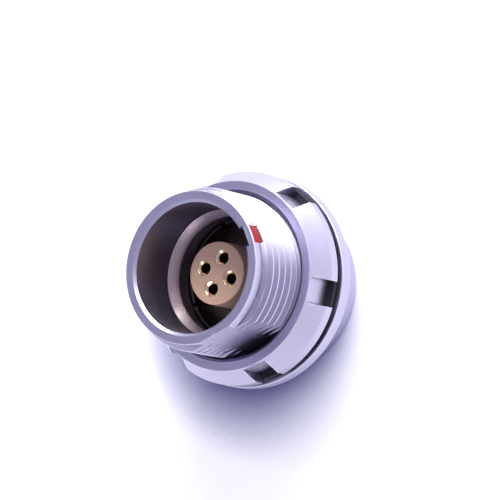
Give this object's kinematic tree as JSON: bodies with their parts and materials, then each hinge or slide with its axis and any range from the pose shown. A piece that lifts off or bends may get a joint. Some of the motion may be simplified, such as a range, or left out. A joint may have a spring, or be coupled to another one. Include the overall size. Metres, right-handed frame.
{
  "type": "panel connector receptacle",
  "caption": "Round panel-mount connector receptacle with a threaded barrel, keyed latching socket, contact insert, conical slotted nut, washer and flange.",
  "frame": {"origin": "on the mating axis, in the plane of the rear rim, so the part stands on Z = 0", "axes": "+Z along the mating axis towards the mating face; -Y towards the keyway and index mark; +X and -X towards the two wrench flats"},
  "size_m": [0.0198, 0.0198, 0.0163],
  "materials": {
    "shell_metal": "satin",
    "nut_metal": "satin",
    "inner_metal": "satin",
    "spring_bronze": "satin",
    "contact_gold": "polished",
    "black_steel": "satin",
    "seal_rubber": "matt",
    "insulator_plastic": "matt",
    "mark_enamel": "gloss"
  },
  "bodies": {
    "housing": {"shell": "shell_metal", "index_mark": "mark_enamel", "panel_seal": "seal_rubber", "front_insulator": "insulator_plastic", "rear_insulator": "insulator_plastic", "earthing_crown": "spring_bronze", "carrier_left": "inner_metal", "carrier_right": "inner_metal", "rear_gasket": "seal_rubber", "retaining_ring": "inner_metal", "contact_1": "contact_gold", "contact_clip_1": "spring_bronze", "contact_2": "contact_gold", "contact_clip_2": "spring_bronze", "contact_3": "contact_gold", "contact_clip_3": "spring_bronze", "contact_4": "contact_gold", "contact_clip_4": "spring_bronze"},
    "washer": {"lock_washer": "black_steel"},
    "nut": {"slotted_nut": "nut_metal"}
  },
  "joints": [
    {"name": "nut_travel", "type": "slide", "parent": "housing", "child": "washer", "axis": [0, 0, 1], "range_m": [0, 0.0045]},
    {"name": "nut_turn", "type": "hinge", "parent": "washer", "child": "nut", "pos_m": [0, 0, 0.0085], "axis": [0, 0, 1], "range_deg": [0, 1620]}
  ],
  "couplings": [
    {"joint": "nut_travel", "follows": "nut_turn", "m_per_rad": 0.00015915}
  ]
}
